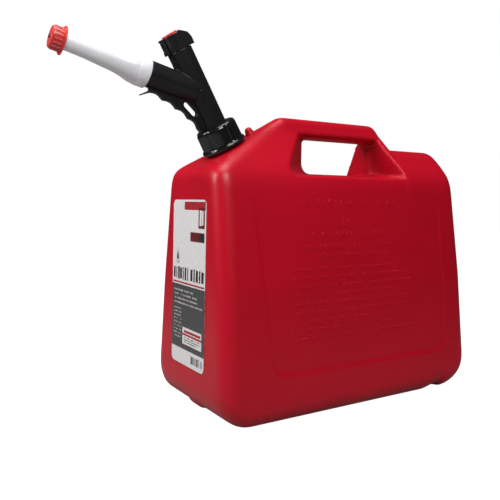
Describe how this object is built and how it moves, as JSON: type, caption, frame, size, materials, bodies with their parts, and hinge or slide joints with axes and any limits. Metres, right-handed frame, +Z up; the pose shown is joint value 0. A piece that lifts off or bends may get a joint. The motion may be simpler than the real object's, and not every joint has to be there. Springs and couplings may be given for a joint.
{
  "type": "jerry can",
  "caption": "Moulded fuel can with a through handle, a threaded front neck and a self-closing push-button pouring spout with capped nozzle.",
  "frame": {"origin": "centre of the tank's flat base, on the surface it stands on", "axes": "+Z up; -X is the front, where the label and the spout are; +X is the rear; +Y is across the can"},
  "size_m": [0.5701, 0.2034, 0.4607],
  "materials": {
    "tank_plastic": "satin blow-moulded polyethylene, red",
    "black_plastic": "satin moulded, black",
    "nut_plastic": "glossy moulded, black",
    "nozzle_plastic": "translucent natural polyethylene",
    "red_trim": "moulded, bright red",
    "dark_plug": "dark red elastomer",
    "spring_steel": "drawn stainless",
    "seal_rubber": "matt nitrile",
    "label_film": "printed film, satin"
  },
  "bodies": {
    "can": {"tank": "tank_plastic", "tank_top": "tank_plastic", "tank_handle": "tank_plastic", "front_label": "label_film"},
    "neck_ring": {"neck_gasket": "seal_rubber"},
    "nut": {"ring_nut": "nut_plastic"},
    "spout": {"spout_body": "black_plastic", "head_shroud": "black_plastic", "rod_guide": "black_plastic", "rod_seal": "seal_rubber", "return_spring": "spring_steel", "flame_arrester": "red_trim", "nozzle": "nozzle_plastic", "nozzle_seal": "seal_rubber", "vent_tube": "black_plastic"},
    "button": {"thumb_button": "red_trim", "push_rod": "spring_steel", "rod_clip": "spring_steel", "valve_head": "black_plastic", "valve_seal": "seal_rubber"},
    "lock": {"lock_slide": "black_plastic"},
    "cap": {"nozzle_cap": "red_trim", "cap_plug": "dark_plug"}
  },
  "joints": [
    {"name": "spout_lift", "type": "slide", "parent": "can", "child": "neck_ring", "axis": [-0.4939, 0, 0.8695], "range_m": [0, 0.01]},
    {"name": "nut_turn", "type": "hinge", "parent": "neck_ring", "child": "nut", "pos_m": [-0.1523, 0, 0.33166], "axis": [-0.4939, 0, 0.8695], "range_deg": [0, 722]},
    {"name": "spout_swivel", "type": "hinge", "parent": "neck_ring", "child": "spout", "pos_m": [-0.1523, 0, 0.33166], "axis": [-0.4939, 0, 0.8695], "continuous": true},
    {"name": "button_press", "type": "slide", "parent": "spout", "child": "button", "axis": [0.4939, 0, -0.8695], "range_m": [0, 0.005], "stiffness_N_per_m": 400, "springref_m": -0.01, "deforming": ["return_spring"]},
    {"name": "lock_travel", "type": "slide", "parent": "spout", "child": "lock", "axis": [0.4939, 0, -0.8695], "range_m": [0, 0.004], "stiffness_N_per_m": 150, "springref_m": -0.006},
    {"name": "cap_pull", "type": "slide", "parent": "spout", "child": "cap", "axis": [-0.9728, 0, 0.2317], "range_m": [0, 0.04]}
  ],
  "couplings": [
    {"joint": "nut_turn", "follows": "spout_lift", "rad_per_m": 1256.6}
  ]
}
